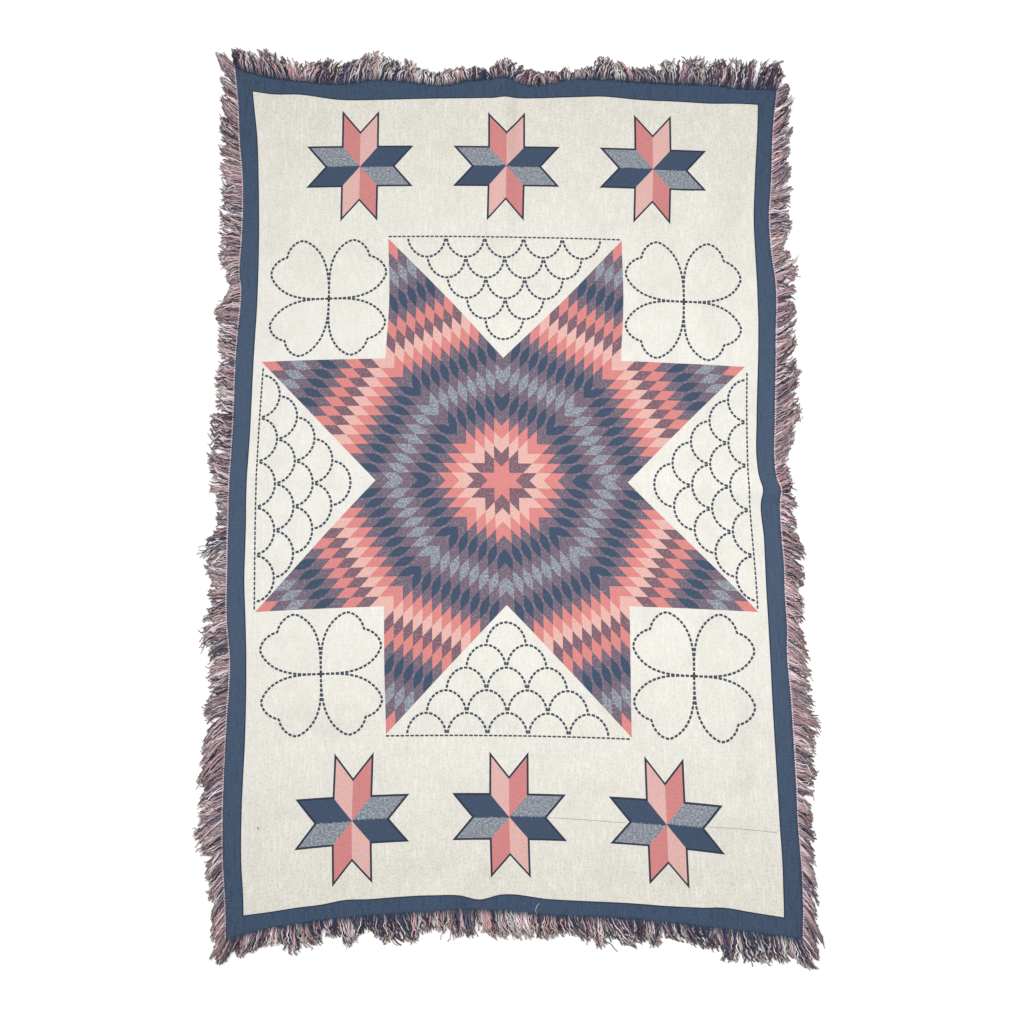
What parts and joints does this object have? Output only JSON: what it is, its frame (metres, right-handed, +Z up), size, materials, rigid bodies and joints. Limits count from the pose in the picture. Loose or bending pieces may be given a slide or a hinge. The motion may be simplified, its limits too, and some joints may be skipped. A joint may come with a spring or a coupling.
{
  "type": "geometric rug blanket",
  "caption": "Woven cotton throw laid out flat, with a star field, a dark border and fringe on all sides.",
  "frame": {"origin": "middle of the whole throw's footprint, on the surface that it lies on", "axes": "+X across the throw, +Y along its length, +Z up from the surface"},
  "size_m": [1.2022, 1.8196, 0.0103],
  "materials": {
    "woven_cotton": "matt jacquard weave in cream, navy, salmon, pink, mauve and grey cotton",
    "fringe_yarn": "matt loose cotton yarn in navy, salmon, mauve and cream"
  },
  "bodies": {
    "root": {"woven_panel": "woven_cotton", "fringe_left": "fringe_yarn", "fringe_right": "fringe_yarn", "fringe_bottom": "fringe_yarn", "fringe_top": "fringe_yarn"}
  },
  "joints": []
}
